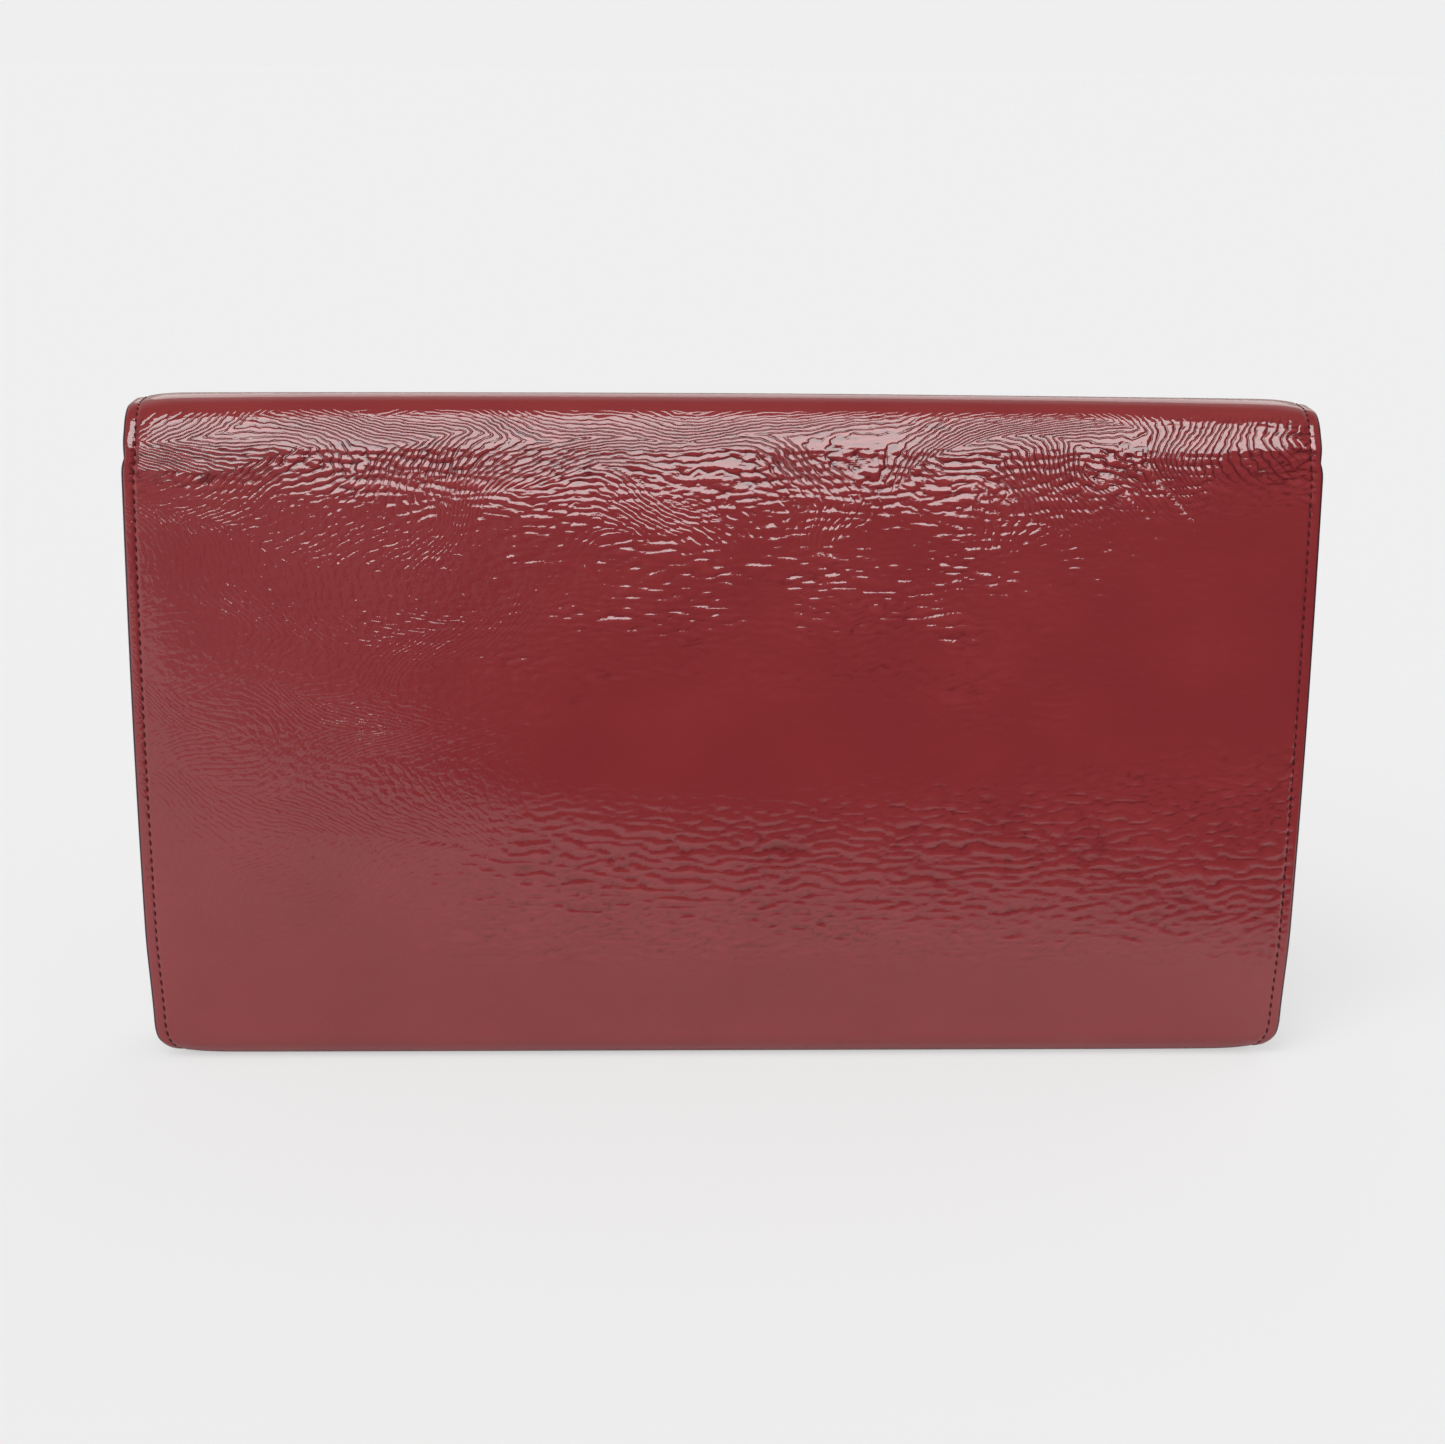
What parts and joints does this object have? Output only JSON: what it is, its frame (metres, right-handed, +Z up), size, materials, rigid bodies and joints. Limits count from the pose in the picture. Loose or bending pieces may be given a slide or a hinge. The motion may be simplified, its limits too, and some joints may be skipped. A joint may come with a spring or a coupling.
{
  "type": "clutch purse",
  "caption": "Flap clutch in crinkled patent leather: one hide wraps base, back, top fold and flap over a gusseted front, closed by a thin magnetic snap.",
  "frame": {"origin": "on the base, at the middle of the closed clutch's width and depth", "axes": "+X along the width, +Y from the back to the flap, +Z up to the top fold"},
  "size_m": [0.278, 0.028, 0.163],
  "materials": {
    "patent_leather": "crinkled patent, high gloss",
    "gusset_leather": "smooth, satin",
    "lining": "woven twill, matt",
    "foam_fleece": "matt fleece",
    "stiffener": "pressed leather-fibre board, matt",
    "snap_brass": "polished",
    "snap_steel": "plain"
  },
  "bodies": {
    "root": {"body_leather": "patent_leather", "body_padding": "foam_fleece", "back_board": "stiffener", "base_board": "stiffener", "body_lining": "lining", "slip_pocket": "lining", "pocket_trim": "patent_leather", "gusset_left": "gusset_leather", "gusset_right": "gusset_leather"},
    "spine": {"spine_leather": "patent_leather", "spine_padding": "foam_fleece", "spine_lining": "lining"},
    "flap": {"flap_leather": "patent_leather", "flap_padding": "foam_fleece", "flap_board": "stiffener", "flap_lining": "lining", "snap_stud": "snap_brass", "stud_washer": "snap_brass"},
    "front": {"front_leather": "patent_leather", "front_padding": "foam_fleece", "front_board": "stiffener", "front_lining": "lining", "snap_base": "snap_steel", "snap_magnet": "snap_steel", "snap_cup": "snap_brass", "socket_washer": "snap_brass"}
  },
  "joints": [
    {"name": "spine_fold", "type": "hinge", "parent": "root", "child": "spine", "pos_m": [0, -0.01164, 0.16064], "axis": [1, 0, 0], "range_deg": [0, 90]},
    {"name": "flap_fold", "type": "hinge", "parent": "spine", "child": "flap", "pos_m": [0, 0.01164, 0.16064], "axis": [1, 0, 0], "range_deg": [0, 90]},
    {"name": "front_open", "type": "hinge", "parent": "root", "child": "front", "pos_m": [0, 0.00685, 0.00176], "axis": [-1, 0, 0], "range_deg": [0, 9], "deforming": ["gusset_left", "gusset_right"]}
  ],
  "couplings": [
    {"joint": "flap_fold", "follows": "spine_fold", "ratio": 1},
    {"joint": "front_open", "follows": "spine_fold", "ratio": 0.1}
  ]
}
